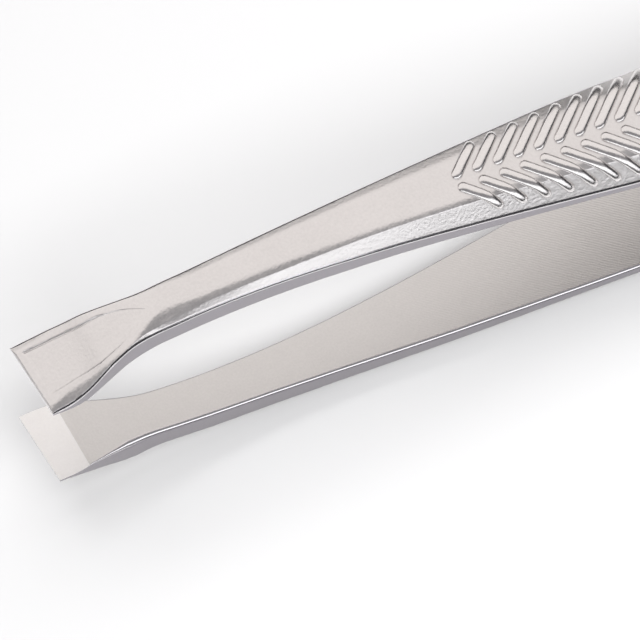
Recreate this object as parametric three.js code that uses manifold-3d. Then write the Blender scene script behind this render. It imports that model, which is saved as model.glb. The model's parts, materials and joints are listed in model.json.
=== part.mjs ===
// Slant tweezers: two coined steel arms, spot-welded to each other at the heel.
// Millimetres, +Z up. The tweezers lie on the ribs and heel of the lower arm, with the tips towards -X.
//
// Each arm is drawn in the frame of the tweezers' mid-plane. There, "along" runs from the middle of
// the tip edge to the heel, "across" is the width, and heights are counted from the mid-plane.
// The upper arm is drawn, and the lower arm is its mirror image in the mid-plane.
import * as THREE from 'three';
import { mergeVertices } from 'three/addons/utils/BufferGeometryUtils.js';
import Module from 'manifold-3d';

const wasm = await Module();
wasm.setup();

// Outline of an arm, seen from above.
const LENGTH = 95;
const TIP_WIDTH = 4.5;
const NECK_WIDTH = 2.45;
const GRIP_WIDTH = 8;
const HEEL_WIDTH = 6;
const HEEL_CORNER_RADIUS = 2.2;
const SLANT_DEG = 8.2;
const SLANT_FADE = 6;
const FLARE_START = 0.7;
const NECK_START = 7.3;
const WIDENING_START = 8;
const WIDENING_END = 52;
const NARROWING_LENGTH = 26;

// Thickness of an arm: the crown is its middle, the side is its upright edge face.
const ARM_THICKNESS = 2.1;
const HEEL_THICKNESS = 1.4;
const THINNING_LENGTH = 26;
const TIP_SIDE_THICKNESS = 0.2;
const TIP_FLANK_DROP = 0.15;
const TIP_DROP_END = 2.5;
const TIP_DROP_FADE = 4;
const TIP_TAPER = 3.6;
const FRONT_BEVEL = 0.25;
const FRONT_FACE_HEIGHT = 0.25;
const MIN_SIDE_THICKNESS = 0.85;
const INNER_CHAMFER = 0.12;

// Coined outer face, as shares of the half width: a flat top, a soft shoulder and a sloping flank.
const FLAT_SHARE = 0.5;
const FLANK_SHARE = 0.3;
const FLANK_DROP_SHARE = 0.3;
const SHOULDER_DROP_PART = 0.2;
const TIP_FLANK_WIDTH = 0.8;
const TIP_FLAT_END = 4;
const TIP_FLAT_FADE = 5;
const NARROWEST_FLANK = 0.12;

// Bow of the arms: half the opening between their inner faces, with no force on them.
const TIP_HALF_GAP = 4.8;
const PAD_LENGTH = 2.2;
const PAD_EXIT_SLOPE = 0.36;
const STRAIGHT_START = 31;
const STRAIGHT_HALF_GAP = 6.15;
const HEEL_OVERLAP = 9;
const HEEL_BEND_LENGTH = 5;

// Each arm bends most just in front of the overlap, as the tips are pressed together.
const FLEX_BEFORE_OVERLAP = 6;
const FLEX_CLEARANCE = 0.3;
const FAYING_GAP = 0.3;
const CLOSED_TIP_GAP = 0.06;

// Spot welds inside the heel.
const WELD_DIAMETER = 1.8;
const WELD_THICKNESS = 0.8;
const WELD_CLEARANCE = 0.3;
const WELDS_FROM_END = { spot_weld_front: 4.7, spot_weld_rear: 2 };
const WELD_SIDES = 20;

// Herringbone grip: two rows of raised ribs, whose inner ends lie nearer the tips.
const RIB_COUNT = 24;
const RIB_START = 25;
const RIB_PITCH = 1.25;
const RIB_ANGLE_DEG = 43;
const RIB_INNER_GAP = 0.2;
const RIB_EDGE_MARGIN = 0.5;
const RIB_WIDTH = 0.44;
const RIB_TOP_WIDTH = 0.22;
const RIB_HEIGHT = 0.2;
const RIB_ROOT = 0.3;
const RIB_END_SLOPE = 0.12;
const RIB_END_PART = 0.3;
const RIB_INNER_PART = 0.8;

// Spacing of the cross-sections, close together at the tip and wider apart behind it.
const TIP_STEP = 0.5;
const TIP_STEPS_END = 8;
const ARM_STEP = 2;
const HEEL_STEP = 1;
const ROUND_STEP = 0.4;

const { degToRad, smoothstep, clamp, lerp } = THREE.MathUtils;

const meetingPoint = LENGTH - HEEL_OVERLAP;
const flexLine = meetingPoint - FLEX_BEFORE_OVERLAP;
const straightSlope = (STRAIGHT_HALF_GAP - FAYING_GAP / 2) / (meetingPoint - STRAIGHT_START);

/** Half the width of an arm. */
function halfWidth(along) {
  const narrowingStart = meetingPoint - NARROWING_LENGTH;
  const flare = (TIP_WIDTH - NECK_WIDTH) / 2 * (1 - smoothstep(along, FLARE_START, NECK_START));
  const widening = (GRIP_WIDTH - NECK_WIDTH) / 2 * smoothstep(along, WIDENING_START, WIDENING_END);
  const narrowing = (GRIP_WIDTH - HEEL_WIDTH) / 2 * smoothstep(along, narrowingStart, meetingPoint);
  const half = NECK_WIDTH / 2 + flare + widening - narrowing;
  const intoCorner = Math.max(along - (LENGTH - HEEL_CORNER_RADIUS), 0);
  const corner = Math.sqrt(Math.max(HEEL_CORNER_RADIUS ** 2 - intoCorner ** 2, 0));
  return half - HEEL_CORNER_RADIUS + corner;
}

/** How far the slanted tip moves a point along the arm, by its place across. */
function slantShift(along, across) {
  const fade = Math.max(1 - along / SLANT_FADE, 0);
  return -across * Math.tan(degToRad(SLANT_DEG)) * fade;
}

/** Part of the full thickness that the ground tip has reached, from 0 at its edge to 1. */
function tipGrowth(along) {
  return clamp(along / TIP_TAPER, 0, 1);
}

/** Thickness of an arm at its middle, before its tip is ground. It thins towards the flex line. */
function fullThickness(along) {
  return lerp(ARM_THICKNESS, HEEL_THICKNESS, smoothstep(along, flexLine - THINNING_LENGTH, flexLine));
}

/** Height of the upright face at an arm's side, before its tip is ground. */
function fullSide(along) {
  return Math.max(fullThickness(along) - FLANK_DROP_SHARE * halfWidth(along), MIN_SIDE_THICKNESS);
}

/** Height of the upright face at an arm's side. */
function sideThickness(along) {
  return lerp(TIP_SIDE_THICKNESS, fullSide(along), tipGrowth(along));
}

/** Thickness of an arm at its middle. */
function crownThickness(along) {
  const fullDrop = fullThickness(along) - fullSide(along);
  const fade = smoothstep(along, TIP_DROP_END, TIP_DROP_END + TIP_DROP_FADE);
  const ground = sideThickness(along) + lerp(TIP_FLANK_DROP, fullDrop, fade);
  return lerp(FRONT_FACE_HEIGHT, ground, clamp(along / FRONT_BEVEL, 0, 1));
}

/** Half the width of the flat top of an arm's outer face. */
function flatHalf(along) {
  const half = halfWidth(along);
  const tipShare = 1 - smoothstep(along, TIP_FLAT_END, TIP_FLAT_END + TIP_FLAT_FADE);
  const tipFlat = TIP_WIDTH / 2 - TIP_FLANK_WIDTH;
  return Math.min(lerp(FLAT_SHARE * half, tipFlat, tipShare), half - 2 * NARROWEST_FLANK);
}

/** Place across where the sloping flank begins. */
function flankStart(along) {
  const half = halfWidth(along);
  return Math.max(half * (1 - FLANK_SHARE), (flatHalf(along) + half - NARROWEST_FLANK) / 2);
}

const smallestHeight = FAYING_GAP / 2;
const flexHeight = straightHeight(flexLine) + crownThickness(flexLine) / 2;
const closeAngle = closingAngle();

/** Height of the inner face on the straight rear part and the bend into the heel. */
function straightHeight(along) {
  const bendStart = meetingPoint - HEEL_BEND_LENGTH / 2;
  const bendEnd = meetingPoint + HEEL_BEND_LENGTH / 2;
  if (along <= bendStart) return smallestHeight + straightSlope * (meetingPoint - along);
  const left = Math.max(bendEnd - along, 0);
  return smallestHeight + straightSlope * left * left / (2 * HEEL_BEND_LENGTH);
}

/** Angle that an arm turns about its flex line until its tip reaches the mid-plane. */
function closingAngle() {
  const rise = TIP_HALF_GAP - flexHeight;
  const reach = Math.hypot(rise, flexLine);
  return Math.acos((CLOSED_TIP_GAP / 2 - flexHeight) / reach) - Math.atan2(flexLine, rise);
}

/** Height of the inner face. The pad at the tip is flat, so that the pads meet face to face. */
function innerHeight(along) {
  const padSlope = -Math.tan(closeAngle);
  if (along <= PAD_LENGTH) return TIP_HALF_GAP + padSlope * along;
  if (along >= STRAIGHT_START) return straightHeight(along);
  const span = STRAIGHT_START - PAD_LENGTH;
  const t = (along - PAD_LENGTH) / span;
  const from = TIP_HALF_GAP + padSlope * PAD_LENGTH;
  const to = straightHeight(STRAIGHT_START);
  const start = from * (1 - 3 * t ** 2 + 2 * t ** 3) + PAD_EXIT_SLOPE * span * (t - 2 * t ** 2 + t ** 3);
  const end = to * (3 * t ** 2 - 2 * t ** 3) - straightSlope * span * (t ** 3 - t ** 2);
  return start + end;
}

/** Height of the outer face above the inner face, at a place across. */
function outerRise(along, across) {
  const crown = crownThickness(along);
  const side = sideThickness(along);
  const shoulder = crown - SHOULDER_DROP_PART * Math.max(crown - side, 0);
  const out = Math.abs(across);
  const flat = flatHalf(along);
  const flank = flankStart(along);
  if (out <= flat) return crown;
  if (out <= flank) return lerp(crown, shoulder, (out - flat) / (flank - flat));
  return lerp(shoulder, side, (out - flank) / (halfWidth(along) - flank));
}

/** One closed cross-section of the upper arm, as points in order around it. */
function crossSection(along) {
  const half = halfWidth(along);
  const base = innerHeight(along);
  const chamfer = Math.min(INNER_CHAMFER, sideThickness(along) / 3);
  const nearSide = [
    [-half + chamfer, 0],
    [-half, chamfer],
    [-half, sideThickness(along)],
    [-flankStart(along), outerRise(along, flankStart(along))],
    [-flatHalf(along), crownThickness(along)],
  ];
  const farSide = nearSide.map(([across, rise]) => [-across, rise]).reverse();
  const point = ([across, rise]) => new THREE.Vector3(along + slantShift(along, across), across, base + rise);
  return [...nearSide, ...farSide].map(point);
}

/** Places along the arm that get a cross-section, between two ends. */
function stations(from, to) {
  const places = [from, FRONT_BEVEL, PAD_LENGTH, to];
  for (let along = TIP_STEP; along < TIP_STEPS_END; along += TIP_STEP) places.push(along);
  for (let along = TIP_STEPS_END; along < flexLine; along += ARM_STEP) places.push(along);
  for (let along = flexLine; along < LENGTH - HEEL_CORNER_RADIUS; along += HEEL_STEP) places.push(along);
  for (let along = LENGTH - HEEL_CORNER_RADIUS; along < LENGTH; along += ROUND_STEP) places.push(along);
  const inside = places.filter((along) => along >= from && along <= to).sort((a, b) => a - b);
  return inside.filter((along, i) => i === 0 || along - inside[i - 1] > TIP_STEP / 5);
}

/** A closed geometry through a row of matching closed outlines, with flat ends. */
function loft(outlines) {
  const around = outlines[0].length;
  const positions = outlines.flat().flatMap((point) => [point.x, point.y, point.z]);
  const index = [];
  for (let row = 0; row < outlines.length - 1; row += 1) {
    for (let i = 0; i < around; i += 1) {
      const a = row * around + i;
      const b = row * around + (i + 1) % around;
      index.push(a, b, b + around, a, b + around, a + around);
    }
  }
  const last = (outlines.length - 1) * around;
  for (let i = 1; i < around - 1; i += 1) {
    index.push(0, i + 1, i, last, last + i, last + i + 1);
  }
  const geometry = new THREE.BufferGeometry();
  geometry.setAttribute('position', new THREE.Float32BufferAttribute(positions, 3));
  geometry.setIndex(index);
  return facingOut(geometry);
}

/** Six times the volume that a geometry's faces enclose, negative if they point inwards. */
function signedVolume(geometry) {
  const { position } = geometry.attributes;
  const corner = [new THREE.Vector3(), new THREE.Vector3(), new THREE.Vector3()];
  let sum = 0;
  for (let i = 0; i < geometry.index.count; i += 3) {
    corner.forEach((point, j) => point.fromBufferAttribute(position, geometry.index.getX(i + j)));
    sum += corner[0].dot(corner[1].cross(corner[2]));
  }
  return sum;
}

/** The same geometry with its faces turned over if they point inwards. */
function facingOut(geometry) {
  if (signedVolume(geometry) > 0) return geometry;
  const index = geometry.index.array;
  for (let i = 0; i < index.length; i += 3) {
    [index[i + 1], index[i + 2]] = [index[i + 2], index[i + 1]];
  }
  return geometry;
}

/** A solid for cutting and joining, from a closed geometry. */
function toSolid(geometry) {
  const bare = geometry.clone();
  bare.deleteAttribute('normal');
  bare.deleteAttribute('uv');
  const merged = mergeVertices(bare, 1e-4);
  const vertProperties = new Float32Array(merged.attributes.position.array);
  const triVerts = new Uint32Array(merged.index.array);
  return new wasm.Manifold(new wasm.Mesh({ numProp: 3, vertProperties, triVerts }));
}

/** A geometry with plain normals, from a solid. */
function toGeometry(solid) {
  const mesh = solid.getMesh();
  const geometry = new THREE.BufferGeometry();
  geometry.setAttribute('position', new THREE.BufferAttribute(new Float32Array(mesh.vertProperties), 3));
  geometry.setIndex(new THREE.BufferAttribute(new Uint32Array(mesh.triVerts), 1));
  geometry.computeVertexNormals();
  return geometry;
}

/** One raised rib of the grip. Its underside is sunk into the arm. */
function rib(start, side) {
  const angle = degToRad(RIB_ANGLE_DEG);
  const forward = new THREE.Vector2(Math.cos(angle), Math.sin(angle) * side);
  const sideways = new THREE.Vector2(-forward.y, forward.x);
  const outerAcross = (reach) => RIB_INNER_GAP + reach * Math.sin(angle);
  const edgeAt = (reach) => halfWidth(start + reach * Math.cos(angle)) - RIB_EDGE_MARGIN;
  let reach = 0;
  while (outerAcross(reach) < edgeAt(reach)) reach += RIB_WIDTH / 10;
  const shoulderReach = (flatHalf(start) - RIB_INNER_GAP) / Math.sin(angle);
  const outline = ([distance, topPart]) => {
    const middle = new THREE.Vector2(start, RIB_INNER_GAP * side).addScaledVector(forward, distance);
    const corner = (width, rise) => {
      const point = middle.clone().addScaledVector(sideways, width);
      const surface = innerHeight(point.x) + outerRise(point.x, point.y);
      return new THREE.Vector3(point.x, point.y, surface + rise);
    };
    const topHalf = RIB_TOP_WIDTH / 2;
    const rootHalf = topHalf + (RIB_WIDTH - RIB_TOP_WIDTH) / 2 * (RIB_HEIGHT + RIB_ROOT) / RIB_HEIGHT;
    const rise = RIB_HEIGHT * topPart;
    return [corner(-rootHalf, -RIB_ROOT), corner(rootHalf, -RIB_ROOT), corner(topHalf, rise),
      corner(-topHalf, rise)];
  };
  const cuts = [[0, RIB_END_PART], [RIB_END_SLOPE, RIB_INNER_PART], [shoulderReach, 1],
    [reach - RIB_END_SLOPE, 1], [reach, RIB_END_PART]];
  return toSolid(loft(cuts.map(outline)));
}

/** The upper arm from the tip to the flex line, with the ribs of its grip. */
function armBlade() {
  const places = stations(0, flexLine - FLEX_CLEARANCE / 2);
  let solid = toSolid(loft(places.map(crossSection)));
  for (let i = 0; i < RIB_COUNT; i += 1) {
    for (const side of [-1, 1]) solid = solid.add(rib(RIB_START + i * RIB_PITCH, side));
  }
  return toGeometry(solid);
}

/** The upper arm behind the flex line, with a pocket for each spot weld. */
function heelTab() {
  const places = stations(flexLine + FLEX_CLEARANCE / 2, LENGTH);
  let solid = toSolid(loft(places.map(crossSection)));
  for (const fromEnd of Object.values(WELDS_FROM_END)) {
    const pocket = weldDisc(fromEnd, WELD_DIAMETER + 2 * WELD_CLEARANCE, WELD_THICKNESS + 2 * WELD_CLEARANCE);
    solid = solid.subtract(toSolid(pocket));
  }
  return toGeometry(solid);
}

/** A flat disc across the mid-plane, placed by its distance from the heel's end. */
function weldDisc(fromEnd, diameter, thickness) {
  const disc = new THREE.CylinderGeometry(diameter / 2, diameter / 2, thickness, WELD_SIDES);
  disc.rotateX(Math.PI / 2);
  disc.translate(LENGTH - fromEnd, 0, 0);
  return disc;
}

/** The mirror image of a geometry in the mid-plane. */
function mirrored(geometry) {
  const copy = geometry.clone();
  copy.scale(1, 1, -1);
  copy.computeVertexNormals();
  return facingOut(copy);
}

/** A named piece with its own material. */
function piece(name, geometry, color, roughness) {
  const material = new THREE.MeshStandardMaterial({ color, roughness, metalness: 1 });
  const mesh = new THREE.Mesh(geometry, material);
  mesh.name = name;
  return mesh;
}

/** Angle between the mid-plane and the floor, with the lower arm resting on its ribs and heel. */
function restAngle() {
  const heelDepth = innerHeight(LENGTH) + crownThickness(LENGTH);
  const ribEnd = RIB_START + RIB_COUNT * RIB_PITCH;
  let steepest = 0;
  for (const along of stations(0, flexLine)) {
    const ribs = along >= RIB_START && along <= ribEnd ? RIB_HEIGHT : 0;
    const depth = innerHeight(along) + crownThickness(along) + ribs;
    steepest = Math.max(steepest, Math.atan2(depth - heelDepth, LENGTH - along));
  }
  return steepest;
}

const blade = armBlade();
const tab = heelTab();
const tweezers = new THREE.Group();
tweezers.add(piece('upper_arm', blade, 0xdedad8, 0.3));
tweezers.add(piece('upper_heel', tab, 0xdedad8, 0.3));
tweezers.add(piece('lower_arm', mirrored(blade), 0xd2cdca, 0.38));
tweezers.add(piece('lower_heel', mirrored(tab), 0xd2cdca, 0.38));
for (const [name, fromEnd] of Object.entries(WELDS_FROM_END)) {
  tweezers.add(piece(name, weldDisc(fromEnd, WELD_DIAMETER, WELD_THICKNESS), 0xb4b1ae, 0.5));
}
tweezers.rotation.y = restAngle();

// The origin is under the middle of the whole object, on the floor.
const object = new THREE.Group();
object.add(tweezers);
object.updateMatrixWorld(true);
const box = new THREE.Box3().setFromObject(object, true);
tweezers.position.set(-(box.min.x + box.max.x) / 2, -(box.min.y + box.max.y) / 2, -box.min.z);

export default object;
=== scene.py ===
"""Slant tweezers: two spring steel arms welded at the heel, lying open on a pale table."""

import json
import logging
import math
from dataclasses import dataclass, field
from enum import Enum

import bpy
import numpy as np
from mathutils import Matrix, Vector

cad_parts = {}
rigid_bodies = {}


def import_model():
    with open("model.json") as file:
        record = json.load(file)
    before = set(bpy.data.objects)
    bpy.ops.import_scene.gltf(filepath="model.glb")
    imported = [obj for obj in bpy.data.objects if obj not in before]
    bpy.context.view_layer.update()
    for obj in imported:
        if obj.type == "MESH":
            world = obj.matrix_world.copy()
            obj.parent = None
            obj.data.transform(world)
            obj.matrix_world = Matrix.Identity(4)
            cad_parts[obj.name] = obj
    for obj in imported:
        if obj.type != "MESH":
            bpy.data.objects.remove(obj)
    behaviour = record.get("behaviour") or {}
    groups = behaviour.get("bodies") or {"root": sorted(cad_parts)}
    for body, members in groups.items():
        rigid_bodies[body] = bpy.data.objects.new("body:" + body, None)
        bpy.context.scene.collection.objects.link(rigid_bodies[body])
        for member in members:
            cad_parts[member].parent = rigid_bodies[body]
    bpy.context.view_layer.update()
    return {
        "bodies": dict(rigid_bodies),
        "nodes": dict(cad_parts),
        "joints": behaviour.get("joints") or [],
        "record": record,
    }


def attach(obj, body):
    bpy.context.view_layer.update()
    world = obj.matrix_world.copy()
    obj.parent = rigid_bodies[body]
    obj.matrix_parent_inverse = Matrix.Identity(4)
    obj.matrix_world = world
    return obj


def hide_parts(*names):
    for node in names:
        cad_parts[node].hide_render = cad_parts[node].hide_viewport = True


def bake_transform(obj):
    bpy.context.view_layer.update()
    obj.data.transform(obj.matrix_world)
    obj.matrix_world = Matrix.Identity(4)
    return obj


LOG = logging.getLogger("slant_tweezers")
MM = 0.001
# Radians that the wave texture turns through in one unit at a scale of 1.
WAVE_TURN = 20.0
Array = np.ndarray
Socket = bpy.types.NodeSocket
Row = tuple[float, ...]
Pair = tuple[float, float]
Triple = tuple[float, float, float]
Knots = tuple[Pair, ...]
Runs = tuple[Triple, ...]
Value = float | Row | Socket


def smooth_rise(value: Array, start: float, end: float) -> Array:
    """Smoothstep of each value, from 0 at start to 1 at end."""
    t = np.clip((value - start) / (end - start), 0.0, 1.0)
    return t * t * (3.0 - 2.0 * t)


def along_knots(value: Array, knots: Knots) -> Array:
    """Reads each value from a rising table of (place, size), with straight lines between."""
    places, sizes = zip(*knots)
    return np.interp(value, places, sizes)


def soft_min(a: Array, b: Array, softness: float) -> Array:
    """The lower of two heights, rounded where they cross by about the softness."""
    low, gap = np.minimum(a, b), np.abs(a - b)
    return low - softness * np.log1p(np.exp(-gap / softness))


def ring(value: Array, top: float, middle: float, width: float) -> Array:
    """A smooth bump of a given height around a middle value."""
    return top * np.exp(-((value - middle) / width)**2)


def line_distance(x: Array, y: Array, knots: Knots) -> Array:
    """Distance from points to a line drawn through a table, positive above the line.

    Args:
        x: Places along the arm.
        y: Places across the arm.
        knots: The line's corners as (along, across).

    Returns:
        Signed distances.
    """
    corners = np.array(knots)
    nearest = np.full(x.shape, np.inf)
    for a, b in zip(corners[:-1], corners[1:]):
        step = b - a
        t = ((x - a[0]) * step[0] + (y - a[1]) * step[1]) / float(step @ step)
        t = np.clip(t, 0.0, 1.0)
        nearest = np.minimum(nearest, np.hypot(x - a[0] - t * step[0], y - a[1] - t * step[1]))
    above = np.where(y > along_knots(x, knots), 1.0, -1.0)
    return nearest * above


class Side(Enum):
    """Which of the two arms a piece belongs to."""

    UPPER = 1
    LOWER = -1

    @property
    def label(self) -> str:
        """The word used in the names of pieces."""
        return self.name.lower()


class Surface(Enum):
    """The differently worked surfaces of an arm, in material order."""

    OUTER = 0
    INNER = 1
    # The tip pad; its material also carries a painted highlight.
    PAD = 2
    EDGE = 3
    # The side walls; their material carries painted shade.
    WALL = 4


def new_object(name: str, data: bpy.types.ID) -> bpy.types.Object:
    """Makes an object and adds it to the scene.

    Args:
        name: Its name.
        data: Its mesh, light or camera.

    Returns:
        The object.
    """
    item = bpy.data.objects.new(name, data)
    bpy.context.scene.collection.objects.link(item)
    return item


@dataclass
class NodeMaker:
    """Short ways to add nodes to a tree."""

    tree: bpy.types.NodeTree

    def fill(self, node: bpy.types.Node, inputs: dict[str | int, Value]) -> None:
        """Sets a node's inputs to numbers, or links sockets to them.

        Args:
            node: The node.
            inputs: What goes into each input, by its name or place.
        """
        for key, value in inputs.items():
            if isinstance(value, Socket):
                self.tree.links.new(value, node.inputs[key])
            else:
                node.inputs[key].default_value = value

    def add(self, kind: str, inputs: dict[str | int, Value], **settings: str) -> bpy.types.Node:
        """Adds a node.

        Args:
            kind: Its type.
            inputs: What goes into its inputs.
            settings: Its own settings.

        Returns:
            The node.
        """
        node = self.tree.nodes.new(kind)
        for name, setting in settings.items():
            setattr(node, name, setting)
        self.fill(node, inputs)
        return node

    def math(self, operation: str, *values: Value) -> Socket:
        """Adds a maths node and gives its result."""
        return self.add("ShaderNodeMath", dict(enumerate(values)), operation=operation).outputs[0]

    def between(self, *values: Value, curve: str = "LINEAR") -> Socket:
        """Maps a value, given with the ends of its range and the results at those ends."""
        return self.add("ShaderNodeMapRange", dict(enumerate(values)),
                        interpolation_type=curve).outputs[0]

    def mix(self, share: Value, first: Value, second: Value,
            blend: str = "MIX") -> Socket:
        """Mixes a share of the second colour into the first."""
        return self.add("ShaderNodeMix", {"Factor": share, 6: first, 7: second},
                        data_type="RGBA", blend_type=blend).outputs[2]

    def vector(self, *values: Value) -> Socket:
        """Joins three numbers or sockets into a vector."""
        return self.add("ShaderNodeCombineXYZ", dict(enumerate(values))).outputs[0]

    def named(self, name: str) -> Socket:
        """Reads a named number of the geometry."""
        return self.add("GeometryNodeInputNamedAttribute", {"Name": name},
                        data_type="FLOAT").outputs["Attribute"]


@dataclass(frozen=True)
class SteelFinish:
    """A worked steel surface: blasted, ground or polished. Sizes are in millimetres."""

    name: str
    colour: Triple
    colour_swing: float
    roughness: float
    roughness_swing: float
    cloud_size: float
    grain_size: float
    grain_depth: float
    cloud_detail: float = 4.0
    grain_detail: float = 3.0
    grain_share: float = 0.6
    colour_range: Pair = (0.25, 0.75)
    roughness_range: Pair = (0.3, 0.7)
    line_pitch: float = 0.0
    line_depth: float = 0.0
    line_turn: float = 0.0
    line_start: float = -1.0
    line_full: float = -0.5
    line_share: float = 0.22
    line_colour: Row = (0.35, 0.34, 0.33, 1.0)
    line_distortion: float = 2.2
    line_detail: float = 2.0
    line_detail_scale: float = 0.6
    weld_tint: bool = False
    heat_colour: Row = (0.56, 0.45, 0.33, 1.0)

    def material(self) -> bpy.types.Material:
        """Builds the finish as a node material.

        Returns:
            The material.
        """
        steel = bpy.data.materials.new(self.name)
        steel.use_nodes = True
        maker = NodeMaker(steel.node_tree)
        place = maker.add("ShaderNodeTexCoord", {}).outputs["Object"]
        cloud = self._noise(maker, place, self.cloud_size, self.cloud_detail)
        grain = self._noise(maker, place, self.grain_size, self.grain_detail)
        clouds = maker.math("MULTIPLY", cloud, 1.0 - self.grain_share)
        shade = maker.math("MULTIPLY_ADD", grain, self.grain_share, clouds)
        ramp = maker.add("ShaderNodeValToRGB", {0: shade})
        tones = (1.0 - self.colour_swing, 1.0 + self.colour_swing)
        for stop, at, tone in zip(ramp.color_ramp.elements, self.colour_range, tones):
            stop.position = at
            stop.color = (*(part * tone for part in self.colour), 1.0)
        height, colour = grain, ramp.outputs["Color"]
        if self.line_pitch:
            height, colour = self._ground_lines(maker, place, grain, colour)
        if self.weld_tint:
            heat = maker.add("ShaderNodeAttribute", {}, attribute_name="weld_heat")
            colour = maker.mix(heat.outputs["Fac"], colour, self.heat_colour)
        rough = maker.between(shade, *self.roughness_range, self.roughness - self.roughness_swing,
                              self.roughness + self.roughness_swing)
        bump = maker.add("ShaderNodeBump", {"Strength": 1.0, "Distance": self.grain_depth * MM,
                                            "Height": height})
        maker.fill(steel.node_tree.nodes["Principled BSDF"], {
            "Metallic": 1.0, "Base Color": colour, "Roughness": rough,
            "Normal": bump.outputs["Normal"]})
        return steel

    def _noise(self, maker: NodeMaker, place: Socket, size: float,
               detail: float) -> Socket:
        """Adds noise with blotches about size millimetres across and octaves of finer detail."""
        return maker.add("ShaderNodeTexNoise", {
            "Vector": place, "Scale": 1.0 / (size * MM), "Detail": detail}).outputs["Fac"]

    def _ground_lines(self, maker: NodeMaker, place: Socket,
                      grain: Socket, colour: Socket,
                      ) -> tuple[Socket, Socket]:
        """Adds the fine slanting lines that a belt leaves, fading out towards the tips.

        Args:
            maker: The material's nodes.
            place: Coordinates in metres.
            grain: Height of the fine grain.
            colour: Colour before the lines.

        Returns:
            The height and the colour with the lines in them.
        """
        turned = maker.add("ShaderNodeMapping", {
            "Vector": place, "Rotation": (0.0, 0.0, math.radians(self.line_turn))})
        wave = maker.add("ShaderNodeTexWave", {
            "Vector": turned.outputs["Vector"],
            "Scale": 2 * math.pi / (WAVE_TURN * self.line_pitch * MM),
            "Distortion": self.line_distortion, "Detail": self.line_detail,
            "Detail Scale": self.line_detail_scale}, bands_direction="X")
        along = maker.add("ShaderNodeSeparateXYZ", {0: place}).outputs["X"]
        share = maker.between(along, self.line_start * MM, self.line_full * MM, 0.0, 1.0)
        lines = maker.math("MULTIPLY", wave.outputs["Fac"], share)
        height = maker.math("MULTIPLY_ADD", lines, self.line_depth / self.grain_depth, grain)
        dark = maker.between(lines, 0.0, 1.0, 0.0, self.line_share)
        return height, maker.mix(dark, colour, self.line_colour, "MULTIPLY")


BLASTED = SteelFinish("blasted_steel", (0.80, 0.775, 0.765), 0.08, 0.33, 0.05, 2.5, 0.16, 0.018,
                      weld_tint=True)
GROUND = SteelFinish("ground_steel", (0.71, 0.69, 0.675), 0.07, 0.36, 0.05, 2.0, 0.13, 0.0065,
                     line_pitch=0.15, line_depth=0.006, line_turn=-49.0, line_start=-27.0,
                     line_full=-12.0)
# Lapped tip pad: a real lapped finish, with its colour raised well above the ground face as a
# painted highlight for the brighter light its tilt catches.
LAPPED_PAD_PAINTED_HIGHLIGHT = SteelFinish("lapped_pad_steel", (0.94, 0.925, 0.915), 0.04, 0.40, 0.04, 1.0, 0.12, 0.005)
POLISHED = SteelFinish("polished_edge_steel", (0.80, 0.78, 0.795), 0.03, 0.13, 0.02, 1.5, 0.20,
                       0.0008)
RIBBED = SteelFinish("rib_steel", (0.83, 0.805, 0.795), 0.05, 0.21, 0.03, 2.0, 0.16, 0.005)
# Sheared side walls: a real sheared finish, but the colour is darkened far below the other steel
# as painted shade, standing in for the shadowed floor the sides reflect.
SHEARED_SIDE_PAINTED_SHADE = SteelFinish("sheared_side_steel", (0.345, 0.325, 0.35), 0.06, 0.34, 0.05, 1.5, 0.14,
                      0.006)
WELDED = SteelFinish("weld_nugget_steel", (0.62, 0.60, 0.57), 0.12, 0.5, 0.08, 0.6, 0.12, 0.006)


@dataclass
class MidPlane:
    """The plane halfway between the arms, found from the two flex joints."""

    origin: Array
    along: Array
    across: Array
    normal: Array
    flex_line: float = 80.0

    @classmethod
    def from_joints(cls, joints: list[dict]) -> "MidPlane":
        """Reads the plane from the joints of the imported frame.

        Args:
            joints: The frame's joints.

        Returns:
            The mid-plane.
        """
        places = {joint["name"]: np.array(joint["pos_m"], float) for joint in joints}
        upper, lower = places["upper_arm_flex"], places["lower_arm_flex"]
        normal = (upper - lower) / np.linalg.norm(upper - lower)
        along = np.array((normal[2], 0.0, -normal[0]))
        return cls((upper + lower) / 2.0, along, np.array((0.0, 1.0, 0.0)), normal)

    def matrix(self, side: Side) -> Matrix:
        """Places an arm drawn in metres along, across and out from the mid-plane.

        Args:
            side: The arm to place. The lower one is mirrored.

        Returns:
            The matrix from the drawing to the object's frame.
        """
        start = self.origin - self.along * self.flex_line * MM
        turn = np.eye(4)
        turn[:3, 0], turn[:3, 1] = self.along, self.across
        turn[:3, 2], turn[:3, 3] = self.normal * side.value, start
        return Matrix(turn.tolist())

    def point(self, along: float, height: float = 0.0) -> tuple[float, float, float]:
        """A point of the middle line, from its place along and its height in millimetres."""
        place = self.origin + self.along * (along - self.flex_line) * MM
        return tuple(place + self.normal * height * MM)


@dataclass(frozen=True)
class WeldMarks:
    """The round marks that the welding electrodes leave on the heel, in millimetres.

    The rim, lip and heat ring are placed in shares of the radius.
    """

    places: Row = (90.3, 93.0)
    radius: float = 0.95
    depth: float = 0.05
    rim: Pair = (0.82, 1.0)
    lip: Triple = (0.012, 1.06, 0.06)
    heat: Triple = (0.55, 1.1, 0.28)

    def shape(self, s: Array, y: Array) -> tuple[Array, Array]:
        """Depth of the marks and strength of the heat colour around them.

        Args:
            s: Places along the arm.
            y: Places across it.

        Returns:
            The depths and the strengths.
        """
        depth, glow = np.zeros(s.shape), np.zeros(s.shape)
        for place in self.places:
            reach = np.hypot(s - place, y) / self.radius
            depth += self.depth * (1 - smooth_rise(reach, *self.rim))
            depth -= ring(reach, *self.lip)
            glow = np.maximum(glow, ring(reach, *self.heat))
        return depth, glow


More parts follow.
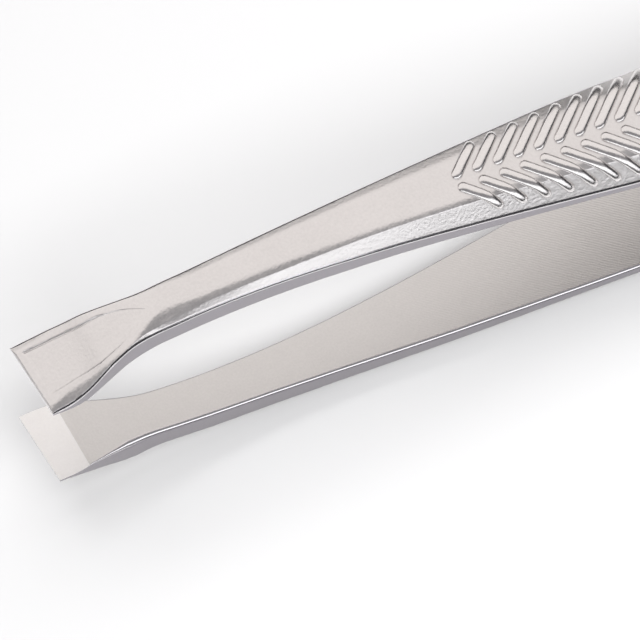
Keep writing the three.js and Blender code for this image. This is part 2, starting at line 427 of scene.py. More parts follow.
@dataclass
class Blade:
    """The shape of one arm in millimetres: along from the tip, across, out from the middle."""

    length: float = 95.0
    tip_width: float = 4.5
    neck_width: float = 2.45
    grip_width: float = 8.0
    heel_width: float = 6.0
    heel_corner: float = 2.2
    slant_deg: float = 8.2
    slant_fade: float = 6.0
    flare: Pair = (0.7, 7.3)
    widening: Pair = (8.0, 52.0)
    narrowing: Pair = (60.0, 86.0)
    arm_thickness: float = 2.098
    heel_thickness: float = 1.4
    thinning: Pair = (54.0, 80.0)
    tip_side: float = 0.2
    tip_flank_drop: float = 0.15
    tip_drop: Pair = (2.5, 6.5)
    tip_taper: float = 3.6
    near_drop: Knots = ((0.0, 0.0), (0.5, 0.12), (1.2, 0.16), (2.5, 0.10), (3.5, 0.0),
                        (4.0, -0.06), (4.5, -0.16), (5.0, -0.24), (5.5, -0.19), (6.0, -0.12),
                        (6.5, -0.05), (7.2, 0.0), (11.0, 0.0), (15.0, 0.12), (23.0, 0.32),
                        (33.0, 0.42), (45.0, 0.3), (60.0, 0.0))
    far_rise: Knots = ((0.0, -0.05), (1.0, -0.05), (2.0, 0.08), (3.0, 0.1), (4.0, 0.2),
                       (5.0, 0.4), (6.0, 0.36), (8.0, 0.14), (11.0, 0.0))
    front_bevel: float = 0.25
    front_height: float = 0.22
    front_slope: float = 1.9
    flank_drop: float = 0.3
    least_side: float = 0.85
    tip_half_gap: float = 4.8
    pad_length: float = 2.2
    pad_slope: float = 0.0596
    pad_exit: float = 0.36
    pad_end: float = 2.05
    step_depth: float = 0.025
    straight_start: float = 31.0
    straight_half_gap: float = 6.15
    heel_start: float = 86.0
    heel_bend: float = 5.0
    faying_half_gap: float = 0.15
    seam_half_gap: float = 0.03
    edge_chamfer: float = 0.11
    chamfer_slopes: Pair = (1.19, 0.64)
    edge_round: float = 0.35
    near_flat: Knots = ((0.0, 1.9), (0.6, 1.82), (1.0, 1.70), (1.5, 1.60), (3.0, 1.60),
                        (4.0, 1.52), (4.5, 1.46), (5.0, 1.37), (5.5, 1.24), (6.0, 0.97),
                        (6.5, 0.70), (7.0, 0.47), (7.5, 0.34), (8.2, 0.36), (9.6, 0.52),
                        (12.0, 0.60), (15.0, 0.68), (20.0, 0.84), (25.0, 1.05), (40.0, 1.74),
                        (60.0, 2.0), (86.0, 1.5), (95.0, 1.5))
    near_flank: Knots = ((0.0, 0.05), (3.5, 0.06), (5.0, 0.10), (6.0, 0.20), (7.0, 0.26),
                         (9.5, 0.38), (12.0, 0.41), (14.0, 0.43), (16.5, 0.52), (18.7, 0.63),
                         (21.0, 0.72), (25.0, 0.86), (40.0, 1.25), (60.0, 1.25), (86.0, 0.98),
                         (95.0, 0.6))
    near_ridge: Knots = ((0.0, -1.27), (0.6, -1.30), (2.0, -1.22), (3.5, -1.30), (4.0, -1.23),
                         (4.5, -1.13), (5.0, -1.02), (5.5, -0.76), (6.0, -0.41), (6.5, -0.04),
                         (6.9, 0.12))
    far_ridge: Knots = ((0.0, 1.62), (1.0, 1.58), (2.0, 1.51), (2.5, 1.43), (3.0, 1.32),
                        (3.5, 1.22), (4.5, 1.09), (5.0, 0.99), (5.5, 0.85), (6.0, 0.63),
                        (6.5, 0.37), (6.9, 0.12))
    panel_depth: float = 0.05
    groove_depth: float = 0.11
    shoulder_tilt: float = 0.38
    far_fall: Pair = (0.31, 0.9)
    far_fade: Pair = (30.0, 45.0)
    shoulder_softness: float = 0.024
    inner_round: Knots = ((0.0, 0.02), (1.7, 0.03), (2.3, 0.12), (3.4, 0.20), (4.1, 0.27),
                          (4.8, 0.36), (5.5, 0.33), (6.4, 0.27), (8.0, 0.24), (40.0, 0.26),
                          (95.0, 0.26))
    far_round: float = 0.08
    edge_share: float = 0.3
    edge_columns: int = 9
    steep_columns: int = 3
    weld_marks: WeldMarks = WeldMarks()
    near_extra: Knots = ((0.0, 0.0), (95.0, 0.0))
    across_count: int = 90
    least_step: float = 0.0012
    wall_rings: Row = (0.03, 0.2, 0.5, 0.8, 0.97)
    chamfer_columns: Row = (0.0, 0.02, 0.08, 0.18, 0.32, 0.5, 0.7, 0.9, 1.0)
    flat_guides: Row = (-0.12, -0.06, -0.02, 0.02, 0.06, 0.12)
    flank_guides: Row = (-0.03, 0.0, 0.03)
    ridge_guides: Row = (-0.06, -0.02, 0.02, 0.05, 0.08, 0.11, 0.15, 0.2)
    groove_guides: Row = (-0.1, -0.07, -0.05, -0.03, -0.015, 0.0, 0.015, 0.03,
                                        0.05, 0.08)
    far_flat_guides: Row = (-0.05, 0.0, 0.05)
    guides_spread: Pair = (6.9, 11.0)
    spread_guides: Pair = (-0.2, 0.25)
    ring_runs: Runs = ((0.0, 0.5, 0.03), (0.5, 8.0, 0.06), (8.0, 26.0, 0.2),
                         (26.0, 56.0, 0.4), (56.0, 86.0, 0.6))
    heel_ring_step: float = 0.14
    corner_rings: int = 20
    taper_softness: float = 0.06
    least_flank: float = 0.12
    least_shoulder: float = 0.02
    far_spread: Pair = (5.0, 10.0)
    far_flank: Pair = (0.16, 0.3)
    far_flat: Pair = (1.7, 0.5)
    least_drop: float = 0.01
    shoulder_share: float = 0.55
    flank_softness: float = 0.004
    least_far: float = 0.05
    far_curve: float = 0.5
    front_fade: Pair = (0.1, 0.3)
    panel_end: float = 6.9
    panel_wall: float = 0.16
    panel_far_wall: float = 0.05
    panel_fade: Pair = (4.0, 6.6)
    panel_loss: float = 0.75
    groove_width: float = 0.045
    groove_fade: Pair = (3.4, 5.2)
    front_softness: float = 0.006
    least_rise: float = 0.12
    seam_run: Pair = (84.0, 87.5)
    step_width: float = 0.16
    evening: float = 1.1
    evening_count: int = 9
    evening_fade: Pair = (5.0, 8.0)
    least_metal: float = 0.05
    least_bevel: float = 0.03
    pad_rim: float = 0.1

    def half_width(self, s: Array) -> Array:
        """Half of the arm's width.

        Args:
            s: Places along the arm.

        Returns:
            One half width for each place.
        """
        neck = self.neck_width / 2
        width = neck + (self.tip_width / 2 - neck) * (1 - smooth_rise(s, *self.flare))
        width += (self.grip_width / 2 - neck) * smooth_rise(s, *self.widening)
        width -= (self.grip_width - self.heel_width) / 2 * smooth_rise(s, *self.narrowing)
        past = np.clip(s - (self.length - self.heel_corner), 0.0, self.heel_corner)
        return width - self.heel_corner + np.sqrt(self.heel_corner**2 - past**2)

    def inner_height(self, s: Array) -> Array:
        """Height of the inner face above the mid-plane.

        Args:
            s: Places along the arm.

        Returns:
            One height for each place.
        """
        slope = (self.straight_half_gap - self.faying_half_gap) / (
            self.heel_start - self.straight_start)
        bend = self.heel_bend / 2
        height = self.faying_half_gap + slope * (self.heel_start - s)
        curve = self.faying_half_gap + slope * (self.heel_start + bend - s)**2 / (
            2 * self.heel_bend)
        height = np.where(s > self.heel_start - bend, curve, height)
        height = np.where(s > self.heel_start + bend, self.faying_half_gap, height)
        run = self.straight_start - self.pad_length
        t = np.clip((s - self.pad_length) / run, 0.0, 1.0)
        pad_end = self.tip_half_gap - self.pad_slope * self.pad_length
        bow = ((2 * t**3 - 3 * t**2 + 1) * pad_end + (t**3 - 2 * t**2 + t) * run * self.pad_exit
               + (3 * t**2 - 2 * t**3) * self.straight_half_gap - (t**3 - t**2) * run * slope)
        height = np.where(s < self.straight_start, bow, height)
        return np.where(s < self.pad_length, self.tip_half_gap - self.pad_slope * s, height)

    def _thickness(self, s: Array) -> tuple[Array, Array]:
        """Thickness of the arm.

        Args:
            s: Places along the arm.

        Returns:
            The thickness at its crown and at its sides.
        """
        full = self.arm_thickness - (self.arm_thickness - self.heel_thickness) * smooth_rise(
            s, *self.thinning)
        full_side = np.maximum(full - self.flank_drop * self.half_width(s), self.least_side)
        grown = np.maximum(soft_min(s / self.tip_taper, 1.0, self.taper_softness), 0.0)
        side = self.tip_side + (full_side - self.tip_side) * grown
        drop = full - full_side - self.tip_flank_drop
        return side + self.tip_flank_drop + drop * smooth_rise(s, *self.tip_drop), side

    def _lines(self, s: Array) -> tuple[Array, ...]:
        """Where the flat crown and the shoulders end on each side.

        Args:
            s: Places along the arm.

        Returns:
            Distances across of the near flat, near flank, far flat and far flank edges.
        """
        width = self.half_width(s)
        near_flat = np.minimum(along_knots(s, self.near_flat), width - self.least_flank)
        near_flank = np.maximum(width - along_knots(s, self.near_flank),
                                near_flat + self.least_shoulder)
        behind = smooth_rise(s, *self.far_spread)
        edge, share = self.far_flank
        far_flank = width - (edge + (share * width - edge) * behind)
        edge, share = self.far_flat
        far_flat = np.minimum(far_flank - self.least_shoulder,
                              edge + (share * width - edge) * behind)
        return near_flat, near_flank, far_flat, far_flank

    def _flanks(self, s: Array, y: Array) -> Array:
        """Thickness before the tip panel: a flat crown, a near shoulder and flank, a far fall.

        Args:
            s: Places along the arm.
            y: Places across it.

        Returns:
            One thickness for each point.
        """
        width = self.half_width(s)
        crown, side = self._thickness(s)
        near_flat, near_flank, far_flat, _ = self._lines(s)
        near = y < 0
        side = side + np.where(near, -along_knots(s, self.near_drop),
                               along_knots(s, self.far_rise))
        side = np.minimum(side, crown - self.least_drop)
        run = near_flank - near_flat
        shoulder = np.minimum(self.shoulder_tilt * run, self.shoulder_share * (crown - side))
        shoulder_slope = shoulder / np.maximum(run, self.least_shoulder)
        flank_slope = (crown - side - shoulder) / np.maximum(width - near_flank,
                                                             self.least_shoulder)
        reach = np.abs(y)
        rise = soft_min(crown, crown - shoulder_slope * (reach - near_flat),
                        self.shoulder_softness)
        rise = soft_min(rise, crown - shoulder - flank_slope * (reach - near_flank),
                        self.flank_softness)
        room = np.maximum(width - far_flat, self.least_far)
        steep, steeper = self.far_fall
        most = (steep + (steeper - steep) * smooth_rise(s, *self.far_fade)) * room
        share, curve = np.clip((reach - far_flat) / room, 0.0, 1.0), self.far_curve
        fall = np.where(share < curve, share**2 / (2 * curve), share - curve / 2)
        fall *= np.minimum(crown - side, most) / (1 - curve / 2)
        return np.where(near, rise, crown - fall)

    def _tip_panel(self, s: Array, y: Array) -> Array:
        """The sunk tip panel with its scribed far line and its near ridge.

        Args:
            s: Places along the arm.
            y: Places across it.

        Returns:
            The change of height of each point.
        """
        from_near = line_distance(s, y, self.near_ridge)
        from_far = -line_distance(s, y, self.far_ridge)
        start, end = self.front_fade
        behind_front = smooth_rise(s, self.front_bevel + start, self.front_bevel + end)
        inside = (smooth_rise(from_near, 0.0, self.panel_wall)
                  * smooth_rise(from_far, 0.0, self.panel_far_wall)
                  * behind_front * (s < self.panel_end))
        depth = self.panel_depth * (1 - self.panel_loss * smooth_rise(s, *self.panel_fade))
        groove = ring(from_far, self.groove_depth, 0.0, self.groove_width) * behind_front
        return -depth * inside - groove * (1 - smooth_rise(s, *self.groove_fade))

    def stations(self) -> Array:
        """Places along the arm for its rings, close together where it has fine detail.

        Returns:
            The places, from the tip to the heel.
        """
        corner = self.length - self.heel_corner
        quarter = np.linspace(0.0, math.pi / 2, self.corner_rings)
        return np.concatenate((
            *(np.arange(*run) for run in self.ring_runs),
            np.arange(self.ring_runs[-1][1], corner, self.heel_ring_step),
            corner + self.heel_corner * np.sin(quarter)))

    def _columns(self, width: Array, edge: Array,
                 guides: list[Array]) -> Array:
        """Places across of a face's points, close together along the lines it has to show.

        Args:
            width: Half width at each ring.
            edge: Distances from the edge of the columns that turn round it.
            guides: Places across of the columns that follow a line.

        Returns:
            One row of rising places for each ring.
        """
        edges = edge.shape[1]
        spare = self.across_count - 2 * edges - len(guides)
        limit = width - edge[:, -1:]
        even = limit * np.linspace(-1.0, 1.0, spare + 2)[1:-1]
        inside = np.sort(np.clip(np.hstack((even, *guides)), -limit, limit), 1)
        y = np.hstack((-width + edge, inside, width - edge[:, ::-1]))
        for k in range(edges, self.across_count):
            y[:, k] = np.maximum(y[:, k], y[:, k - 1] + self.least_step)
        y[:, -edges:] = width - edge[:, ::-1]
        for k in range(self.across_count - edges, 0, -1):
            y[:, k - 1] = np.minimum(y[:, k - 1], y[:, k] - self.least_step)
        y[:, :edges] = -width + edge
        return y

    def _outer_guides(self, s: Array) -> list[Array]:
        """Columns that follow the flat, flank, ridge and groove lines of the outer face.

        Args:
            s: Places along the arm.

        Returns:
            Places across, one array for each column.
        """
        near_flat, near_flank, far_flat, far_flank = self._lines(s)
        width = self.half_width(s)
        past = smooth_rise(s, *self.guides_spread)
        near, far = (along_knots(s, line) * (1 - past) + share * width * past for line, share in
                     zip((self.near_ridge, self.far_ridge), self.spread_guides))
        offsets = ((-near_flat, self.flat_guides), (-near_flank, self.flank_guides),
                   (near, self.ridge_guides), (far, self.groove_guides),
                   (far_flat, self.far_flat_guides), (far_flank, self.flank_guides))
        return [line + step for line, steps in offsets for step in steps]

    def _rounded(self, from_edge: Array, radius: Array) -> Array:
        """Drop of a rounded edge at each distance from it."""
        short = np.clip(radius - from_edge, 0.0, radius)
        return radius - np.sqrt(radius**2 - short**2)

    def _edge_columns(self, radius: Array) -> Array:
        """Distances from the edge of the columns that turn round it, evenly in angle."""
        return radius * (1 - np.cos(np.linspace(0.0, math.pi / 2, self.edge_columns)))

    def _outer_face(self, s: Array) -> tuple[Array, Array, Array]:
        """The points of the outer face.

        Args:
            s: Places along the arm, one row for each ring.

        Returns:
            Their places across, thickness and heat colour.
        """
        width = self.half_width(s)
        _, side = self._thickness(s)
        chamfer = np.minimum(self.edge_chamfer, self.edge_share * side)
        radius = chamfer * self.edge_round
        y = self._columns(width, chamfer * np.array(self.chamfer_columns), self._outer_guides(s))
        s = np.broadcast_to(s, y.shape)
        rise = self._flanks(s, y) + self._tip_panel(s, y)
        front = self.front_height + s * self.front_slope
        rise = np.maximum(soft_min(rise, front, self.front_softness), self.least_rise)
        depth, heat = self.weld_marks.shape(s, y)
        from_edge = width - np.abs(y)
        at_rim = self._flanks(s, np.sign(y) * (width - chamfer))
        slope = np.where(y < 0, *self.chamfer_slopes)
        rise = np.where(from_edge < chamfer,
                        np.minimum(rise, at_rim - slope * (chamfer - from_edge)), rise)
        return y, rise - self._rounded(from_edge, radius) - depth, heat

    def _inner_face(self, s: Array) -> tuple[Array, Array, Array]:
        """The points of the inner face.

        Args:
            s: Places along the arm, one row for each ring.

        Returns:
            Their places across, their height and how far inside the bevel they lie.
        """
        width = self.half_width(s)
        radius = along_knots(s, self.inner_round)
        y = self._columns(width, self._edge_columns(radius), [])
        s = np.broadcast_to(s, y.shape)
        from_edge = width - np.abs(y)
        far_radius = np.minimum(radius, self.far_round)
        radius = np.where(y < 0, radius, far_radius)
        seam = smooth_rise(s, *self.seam_run)
        height = self.inner_height(s) - (self.faying_half_gap - self.seam_half_gap) * seam
        height += ring(s, self.step_depth, self.pad_end, self.step_width)
        height += self._rounded(from_edge, radius)
        return y, height, radius - from_edge

    def _widened(self, s: Array, y: Array) -> Array:
        """Places across with the near half stretched by the extra width."""
        stretch = 1 + along_knots(s, self.near_extra) / self.half_width(s)
        return np.where(y < 0, y * stretch, y)

    def mesh_arrays(self) -> tuple[Array, list[tuple[int, ...]], list[int], Array]:
        """Builds the closed skin of an arm, drawn as the upper one.

        Returns:
            Vertices in metres, faces, the Surface of each face, and the heat of each vertex.
        """
        s = self.stations()[:, None]
        outer_y, rise, heat = self._outer_face(s)
        inner_y, inner, in_bevel = self._inner_face(s)
        spread = np.linspace(-self.evening, self.evening, self.evening_count)
        under = np.mean([self.inner_height(np.maximum(s + d, 0.0)) for d in spread], 0)
        near_tip = 1 - smooth_rise(s, *self.evening_fade)
        outer = self.inner_height(s) * (1 - near_tip) + under * near_tip + rise
        inner = np.minimum(inner, outer.min(1, keepdims=True) - self.least_metal)
        outer_y, inner_y = self._widened(s, outer_y), self._widened(s, inner_y)
        fade = np.clip(1 - s / self.slant_fade, 0.0, 1.0)
        slant = math.tan(math.radians(self.slant_deg)) * fade
        top = np.stack((s - outer_y * slant, outer_y, outer), 2)
        bottom = np.stack((s - inner_y * slant, inner_y, inner), 2)
        walls = []
        for column in (-1, 0):
            rings = self.wall_rings if column else [1.0 - t for t in self.wall_rings]
            walls.append(np.stack([top[:, column] + (bottom[:, column] - top[:, column]) * t
                                   for t in rings], 1))
        loop = np.concatenate((top, walls[0], bottom[:, ::-1], walls[1]), 1)
        rows, columns = loop.shape[:2]
        faces, kinds = self._skin(rows, columns, s[:, 0], in_bevel)
        glow = np.zeros((rows, columns))
        glow[:, :self.across_count] = heat
        return loop.reshape(-1, 3) * MM, faces, kinds, glow.reshape(-1)

    def _skin(self, rows: int, columns: int, s: Array,
              in_bevel: Array) -> tuple[list[tuple[int, ...]], list[int]]:
        """Joins the rings into faces and closes both ends.

        Args:
            rows: Number of rings.
            columns: Points in a ring.
            s: Place of each ring.
            in_bevel: How far inside the inner bevel each inner point lies.

        Returns:
            The faces, and the Surface number of each.
        """
        count, walls = self.across_count, len(self.wall_rings)
        faces: list[tuple[int, ...]] = []
        kinds: list[int] = []
        for i in range(rows - 1):
            for j in range(columns):
                k = (j + 1) % columns
                faces.append((i * columns + j, (i + 1) * columns + j,
                              (i + 1) * columns + k, i * columns + k))
                kinds.append(self._kind(i, j, s, in_bevel))
        first_inner = count + walls
        for row, turn in ((0, 1), (rows - 1, -1)):
            for j in range(count - 1):
                a, b = first_inner + (count - 1 - j), first_inner + (count - 2 - j)
                ring = [j, j + 1, b, a]
                if j == 0:
                    ring = [0, 1, b, a, *range(first_inner + count, columns)]
                elif j == count - 2:
                    ring = [j, *range(j + 1, first_inner + 1), a]
                faces.append(tuple(row * columns + n for n in ring[::turn]))
                kinds.append(Surface.EDGE.value)
        return faces, kinds

    def _kind(self, i: int, j: int, s: Array, in_bevel: Array) -> int:
        """Says which worked surface a face belongs to, with the steep bevel faces by the walls
        given the wall's darkened material as a painted dark edge line.

        Args:
            i: Number of its ring.
            j: Its place in the ring.
            s: Place of each ring.
            in_bevel: How far inside the inner bevel each inner point lies.

        Returns:
            The Surface number.
        """
        count, walls = self.across_count, len(self.wall_rings)
        turn = self.edge_columns - 1
        if j < count - 1:
            return (Surface.OUTER if turn <= j < count - 1 - turn else Surface.EDGE).value
        if j < count + walls or j >= 2 * count + walls - 1:
            return Surface.WALL.value
        place = 2 * count + walls - 2 - j
        # The steep bevel faces beside each wall take the wall's darkened material: a painted dark
        # line along the edge.
        if min(place, count - 2 - place) < self.steep_columns:
            return Surface.WALL.value
        if in_bevel[i, place] > self.least_bevel:
            return Surface.EDGE.value
        return (Surface.PAD if s[i] < self.pad_end - self.pad_rim else Surface.INNER).value


def plain_mesh(name: str, vertices: Array, faces: list[tuple[int, ...]],
               place: Matrix) -> bpy.types.Mesh:
    """Makes a mesh and puts it in place, turned the right way out if the placing mirrors it.

    Args:
        name: Name of the mesh.
        vertices: Points in metres.
        faces: Corners of each face.
        place: Matrix to the object's frame.

    Returns:
        The mesh.
    """
    mesh = bpy.data.meshes.new(name)
    mesh.from_pydata(vertices.tolist(), [], faces)
    mesh.transform(place)
    if place.determinant() < 0:
        mesh.flip_normals()
    mesh.update()
    return mesh


NEAR_EXTRA: dict[Side, Knots] = {
    Side.UPPER: ((0.0, 0.0), (5.0, 0.0), (8.0, 0.1), (12.0, 0.17), (18.0, 0.24), (25.0, 0.18),
                 (33.0, 0.04), (45.0, 0.0), (95.0, 0.0)),
    Side.LOWER: ((0.0, 0.0), (3.5, 0.0), (5.0, 0.12), (7.0, 0.19), (10.0, 0.17), (14.0, 0.09),
                 (18.0, 0.08), (25.0, 0.14), (36.0, 0.09), (45.0, 0.0), (95.0, 0.0)),
}


@dataclass
class GripRibs:
    """The herringbone of raised ribs across the grip of an arm, in millimetres."""

    rows: int = 24
    first: float = 25.0
    pitch: float = 1.25
    angle_deg: float = 43.0
    inner_gap: float = 0.2
    edge_margin: float = 0.3
    radius: float = 0.32
    height: float = 0.19
    points_each: int = 15
    sides: int = 20
    reach_tries: int = 4
    least_fullness: float = 0.06
    ray_height: float = 30.0

    def build(self, arm: bpy.types.Mesh, blade: Blade,
              finish: bpy.types.Material) -> bpy.types.Mesh:
        """Lays the ribs on an arm and turns them into a plain mesh.

        Args:
            arm: The arm, drawn as the upper one, in metres.
            blade: The arm's sizes.
            finish: The material of the ribs.

        Returns:
            The ribs in the same drawing as the arm.
        """
        carrier = new_object("rib_carrier", arm)
        modifier = carrier.modifiers.new("grip_ribs", "NODES")
        modifier.node_group = self._tree(blade)
        sockets = {item.name: item.identifier for item in modifier.node_group.interface.items_tree
                   if item.in_out == "INPUT"}
        sizes = {"Ribs": self.rows * 2, "First Rib": self.first * MM, "Pitch": self.pitch * MM,
                 "Angle": math.radians(self.angle_deg), "Inner Gap": self.inner_gap * MM,
                 "Edge Margin": self.edge_margin * MM, "Radius": self.radius * MM,
                 "Height": self.height * MM, "Material": finish}
        for name, value in sizes.items():
            modifier[sockets[name]] = value
        evaluated = carrier.evaluated_get(bpy.context.evaluated_depsgraph_get())
        ribs = bpy.data.meshes.new_from_object(evaluated)
        carrier.modifiers.remove(modifier)
        bpy.data.objects.remove(carrier)
        return ribs

    def _tree(self, blade: Blade) -> bpy.types.NodeTree:
        """Builds the node tree that draws every rib as a rounded bar lying on the arm.

        Args:
            blade: The arm's sizes, for how far a rib may reach.

        Returns:
            The node tree.
        """
        tree = bpy.data.node_groups.new("grip_ribs", "GeometryNodeTree")
        face = tree.interface
        face.new_socket("Arm", in_out="INPUT", socket_type="NodeSocketGeometry")
        face.new_socket("Ribs", in_out="INPUT", socket_type="NodeSocketInt")
        for name in ("First Rib", "Pitch", "Angle", "Inner Gap", "Edge Margin", "Radius",
                     "Height"):
            face.new_socket(name, in_out="INPUT", socket_type="NodeSocketFloat")
        face.new_socket("Material", in_out="INPUT", socket_type="NodeSocketMaterial")
        face.new_socket("Ribs", in_out="OUTPUT", socket_type="NodeSocketGeometry")
        given = tree.nodes.new("NodeGroupInput").outputs
        maker = NodeMaker(tree)
        math_of, add = maker.math, maker.add

        count = float(self.points_each)
        points = add("GeometryNodePoints", {"Count": math_of("MULTIPLY", given["Ribs"], count)})
        index = add("GeometryNodeInputIndex", {}).outputs["Index"]
        rib = math_of("FLOOR", math_of("DIVIDE", math_of("ADD", index, 0.5), count))
        step = math_of("SUBTRACT", index, math_of("MULTIPLY", rib, count))
        row = math_of("FLOOR", math_of("DIVIDE", math_of("ADD", rib, 0.5), 2.0))
        other = math_of("SUBTRACT", rib, math_of("MULTIPLY", row, 2.0))
        side = math_of("SUBTRACT", math_of("MULTIPLY", other, 2.0), 1.0)
        start = math_of("MULTIPLY_ADD", row, given["Pitch"], given["First Rib"])
        sine, cosine = math_of("SINE", given["Angle"]), math_of("COSINE", given["Angle"])

        reach: Value = 0.0
        taken = math_of("ADD", given["Edge Margin"], given["Inner Gap"])
        for _ in range(self.reach_tries):
            end = math_of("MULTIPLY_ADD", reach, cosine, start)
            widening = (size * MM for size in (*blade.widening, blade.neck_width / 2,
                                               blade.grip_width / 2))
            half_width = maker.between(end, *widening, curve="SMOOTHSTEP")
            reach = math_of("DIVIDE", math_of("SUBTRACT", half_width, taken), sine)
        turn = math_of("MULTIPLY", step, math.pi / (self.points_each - 1))
        share = math_of("MULTIPLY", math_of("SUBTRACT", 1.0, math_of("COSINE", turn)), 0.5)
        gone = math_of("MULTIPLY", reach, share)
        along = math_of("MULTIPLY_ADD", gone, cosine, start)
        sideways = math_of("MULTIPLY_ADD", gone, sine, given["Inner Gap"])
        across = math_of("MULTIPLY", sideways, side)

        from_end = math_of("MINIMUM", gone, math_of("SUBTRACT", reach, gone))
        to_cap = math_of("MINIMUM", math_of("DIVIDE", from_end, given["Radius"]), 1.0)
        inside = math_of("SUBTRACT", 1.0, to_cap)
        round_end = math_of("SQRT", math_of("SUBTRACT", 1.0, math_of("MULTIPLY", inside, inside)))
        fullness = math_of("MAXIMUM", round_end, self.least_fullness)

        ray = add("GeometryNodeRaycast", {
            "Target Geometry": given["Arm"], "Ray Direction": (0.0, 0.0, -1.0),
            "Source Position": maker.vector(along, across, self.ray_height * MM)})
        shape = points.outputs[0]
        for name, value in (("fullness", fullness), ("rib", rib), ("step", step)):
            shape = add("GeometryNodeStoreNamedAttribute", {
                0: shape, "Name": name, "Value": value}, data_type="FLOAT").outputs[0]
        shape = add("GeometryNodeSetPosition", {
            "Geometry": shape, "Position": ray.outputs["Hit Position"]}).outputs[0]
        shape = add("GeometryNodePointsToCurves", {
            "Points": shape, "Curve Group ID": maker.named("rib"),
            "Weight": maker.named("step")}).outputs[0]
        shape = add("GeometryNodeSetCurveNormal", {"Curve": shape}, mode="Z_UP").outputs[0]
        circle = add("GeometryNodeCurvePrimitiveCircle", {
            "Resolution": self.sides, "Radius": given["Radius"]})
        flatness = math_of("DIVIDE", given["Height"], given["Radius"])
        oval = add("GeometryNodeTransform", {
            "Geometry": circle.outputs["Curve"], "Scale": maker.vector(1.0, flatness, 1.0)})
        shape = add("GeometryNodeCurveToMesh", {
            "Curve": shape, "Profile Curve": oval.outputs["Geometry"],
            "Scale": maker.named("fullness"), "Fill Caps": True}).outputs[0]
        for kind in ("GeometryNodeSetShadeSmooth", "GeometryNodeRealizeInstances"):
            shape = add(kind, {0: shape}).outputs[0]
        dressed = add("GeometryNodeSetMaterial", {0: shape, "Material": given["Material"]})
        add("NodeGroupOutput", {0: dressed.outputs[0]})
        return tree


@dataclass
class TweezerArm:
    """One arm with its heel, its worked surfaces and the ribs of its grip."""

    side: Side
    plane: MidPlane
    blade: Blade = field(default_factory=Blade)
    ribs: GripRibs = field(default_factory=GripRibs)
    bend_start: float = 88.0
    bend_end: float = 72.0
    bend_height: float = 0.615
    crease_deg: float = 32.0

    def build(self, finishes: dict[Surface, bpy.types.Material],
              rib_finish: bpy.types.Material) -> list[bpy.types.Object]:
        """Makes the arm and its ribs, and ties the ribs to the arm's body in the frame.

        Args:
            finishes: A material for each worked surface.
            rib_finish: The material of the ribs.

        Returns:
            The two pieces.
        """
        vertices, faces, kinds, heat = self.blade.mesh_arrays()
        drawing = plain_mesh("arm_drawing", vertices, faces, Matrix.Identity(4))
        ribs = self.ribs.build(drawing, self.blade, rib_finish)
        place = self.plane.matrix(self.side)
        name = f"{self.side.label}_arm"
        skin = plain_mesh(f"{name}_skin", vertices, faces, place)
        for surface in Surface:
            skin.materials.append(finishes[surface])
        skin.polygons.foreach_set("material_index", kinds)
        glow = skin.attributes.new("weld_heat", "FLOAT", "POINT")
        glow.data.foreach_set("value", heat)
        skin.shade_smooth()
        skin.set_sharp_from_angle(angle=math.radians(self.crease_deg))
        ribs.transform(place)
        if place.determinant() < 0:
            ribs.flip_normals()
        pieces = []
        for label, mesh in ((f"{name}_skin", skin), (f"{name}_grip_ribs", ribs)):
            piece = new_object(label, mesh)
            pieces.append(piece)
        skin_piece, rib_piece = pieces
        height = self.bend_height * self.side.value
        self.plane.point(self.bend_start, height)
        self.plane.point(self.bend_end, height)
        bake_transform(skin_piece)
        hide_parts(name, f"{self.side.label}_heel")
        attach(rib_piece, name)
        return pieces


@dataclass
class SpotWelds:
    """The two weld nuggets that join the heels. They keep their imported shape."""

    nodes: tuple[str, ...] = ("spot_weld_front", "spot_weld_rear")

    def dress(self, frame: dict, finish: bpy.types.Material) -> None:
        """Gives the nuggets their material.

        Args:
            frame: The loaded frame.
            finish: The material.
        """
        for name in self.nodes:
            nugget = frame["nodes"][name]
            for slot in nugget.material_slots:
                slot.material = finish


@dataclass(frozen=True)
class Softbox:
    """A long soft panel of light whose cross-section runs between two points (across, up)."""

    name: str
    low: Pair
    high: Pair
    length: float
    radiance: float
    colour: Triple
    spread_deg: float = 180.0
    mirrored: bool = True

    def build(self) -> None:
        """Hangs the panel so that it faces the tweezers."""
        low, high = (Vector((0.0, *point)) for point in (self.low, self.high))
        middle, up = (low + high) / 2, (high - low)
        light = bpy.data.lights.new(self.name, "AREA")
        light.shape = "RECTANGLE"
        light.size, light.size_y = self.length, up.length
        light.energy = self.radiance * math.pi * self.length * up.length
        light.color = self.colour
        light.spread = math.radians(self.spread_deg)
        panel = new_object(self.name, light)
        panel.visible_glossy = self.mirrored
        back = up.cross(Vector((1.0, 0.0, 0.0))).normalized()
        if back.dot(middle) < 0:
            back.negate()
        side = up.normalized().cross(back)
        turn = Matrix((side, up.normalized(), back)).transposed().to_4x4()
        panel.matrix_world = Matrix.Translation(middle) @ turn


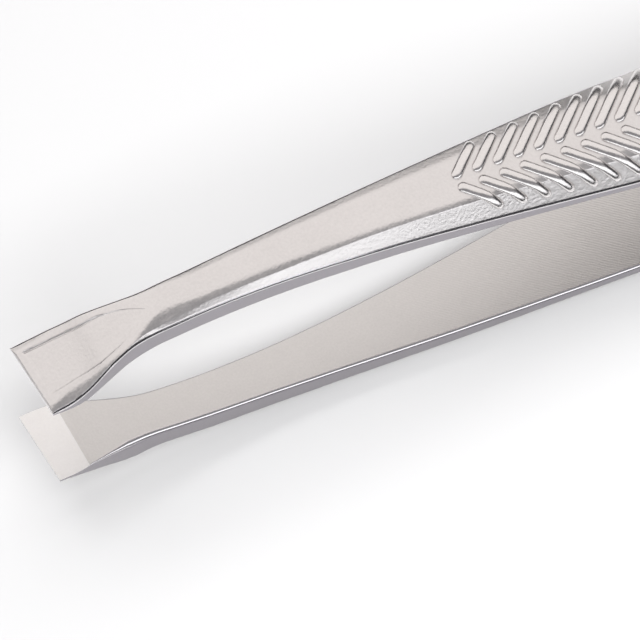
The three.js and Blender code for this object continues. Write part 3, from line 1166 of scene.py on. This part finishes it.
@dataclass
class Studio:
    """Floor, light and camera."""

    plane: MidPlane
    azimuth: float = -28.403
    elevation: float = 66.109
    roll: float = 4.321
    aim_along: float = 16.751
    aim_across: float = -1.016
    distance: float = 0.19224
    lens: float = 193.5
    sensor: float = 36.0
    clip_start: float = 0.01
    floor_half: float = 1.4
    floor_drop: float = 1e-5
    floor_roughness: float = 0.9
    floor_shine: float = 0.1
    floor_colour: Triple = (0.41, 0.41, 0.413)
    surround: Triple = (0.045, 0.043, 0.047)
    panels: tuple[Softbox, ...] = (
        Softbox("back_softbox", (0.62, 0.23), (-0.02, 0.80), 3.4, 0.92, (1.0, 0.965, 0.945)),
        Softbox("front_softbox", (-0.62, 0.23), (-0.52, 0.64), 2.6, 1.45, (0.97, 0.98, 1.0)),
        Softbox("overhead_fill", (-0.51, 0.65), (-0.03, 0.80), 3.0, 0.21, (0.98, 0.97, 1.0)),
        Softbox("front_floor_light", (-0.07, 0.29), (-0.19, 0.23), 0.22, 3.1, (1.0, 1.0, 1.0),
                spread_deg=80.0, mirrored=False),
        Softbox("back_floor_light", (0.12, 0.28), (-0.02, 0.30), 0.22, 1.6, (1.0, 1.0, 1.0),
                spread_deg=80.0, mirrored=False),
    )

    def build(self) -> None:
        """Makes the floor, the lights and the camera."""
        self._floor()
        for panel in self.panels:
            panel.build()
        world = bpy.data.worlds.new("studio")
        world.use_nodes = True
        world.node_tree.nodes["Background"].inputs["Color"].default_value = (*self.surround, 1.0)
        bpy.context.scene.world = world
        bpy.context.scene.view_settings.view_transform = "Standard"
        self._camera()

    def _floor(self) -> None:
        """Lays the pale floor."""
        corners = self.floor_half * np.array(((-1, -1, 0), (1, -1, 0), (1, 1, 0), (-1, 1, 0)))
        mesh = plain_mesh("floor", corners, [(0, 1, 2, 3)],
                          Matrix.Translation((0, 0, -self.floor_drop)))
        matt = bpy.data.materials.new("pale_floor")
        matt.use_nodes = True
        NodeMaker(matt.node_tree).fill(matt.node_tree.nodes["Principled BSDF"], {
            "Base Color": (*self.floor_colour, 1.0), "Roughness": self.floor_roughness,
            "Specular IOR Level": self.floor_shine})
        mesh.materials.append(matt)
        new_object("floor", mesh)

    def _camera(self) -> None:
        """Sets the camera above the near side of the tips, a little turned."""
        azimuth, elevation, roll = (math.radians(angle) for angle in (
            self.azimuth, self.elevation, self.roll))
        back = Vector((math.sin(azimuth) * math.cos(elevation),
                       -math.cos(azimuth) * math.cos(elevation), math.sin(elevation)))
        level = Vector((math.cos(azimuth), math.sin(azimuth), 0.0))
        raised = back.cross(level)
        right = math.cos(roll) * level + math.sin(roll) * raised
        up = -math.sin(roll) * level + math.cos(roll) * raised
        plane = self.plane.matrix(Side.UPPER)
        target = Vector((self.aim_along * MM, self.aim_across * MM, 0.0))
        local = Matrix((right, up, back)).transposed().to_4x4()
        local.translation = target + back * self.distance
        data = bpy.data.cameras.new("camera")
        data.lens, data.sensor_width, data.clip_start = self.lens, self.sensor, self.clip_start
        camera = new_object("camera", data)
        camera.matrix_world = plane @ local
        bpy.context.scene.camera = camera


def main() -> None:
    """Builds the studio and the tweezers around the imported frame."""
    logging.basicConfig(level=logging.INFO, format="%(name)s: %(message)s")
    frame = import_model()
    plane = MidPlane.from_joints(frame["joints"])
    Studio(plane).build()
    finishes = {Surface.OUTER: BLASTED.material(), Surface.INNER: GROUND.material(),
                Surface.PAD: LAPPED_PAD_PAINTED_HIGHLIGHT.material(), Surface.EDGE: POLISHED.material(),
                Surface.WALL: SHEARED_SIDE_PAINTED_SHADE.material()}
    rib_finish = RIBBED.material()
    for side in Side:
        blade = Blade(near_extra=NEAR_EXTRA[side])
        for piece in TweezerArm(side, plane, blade).build(finishes, rib_finish):
            piece.data.calc_loop_triangles()
            LOG.info("%s: %d triangles", piece.name, len(piece.data.loop_triangles))
    SpotWelds().dress(frame, WELDED.material())
    LOG.info("spot welds dressed")


if __name__ == "__main__":
    main()
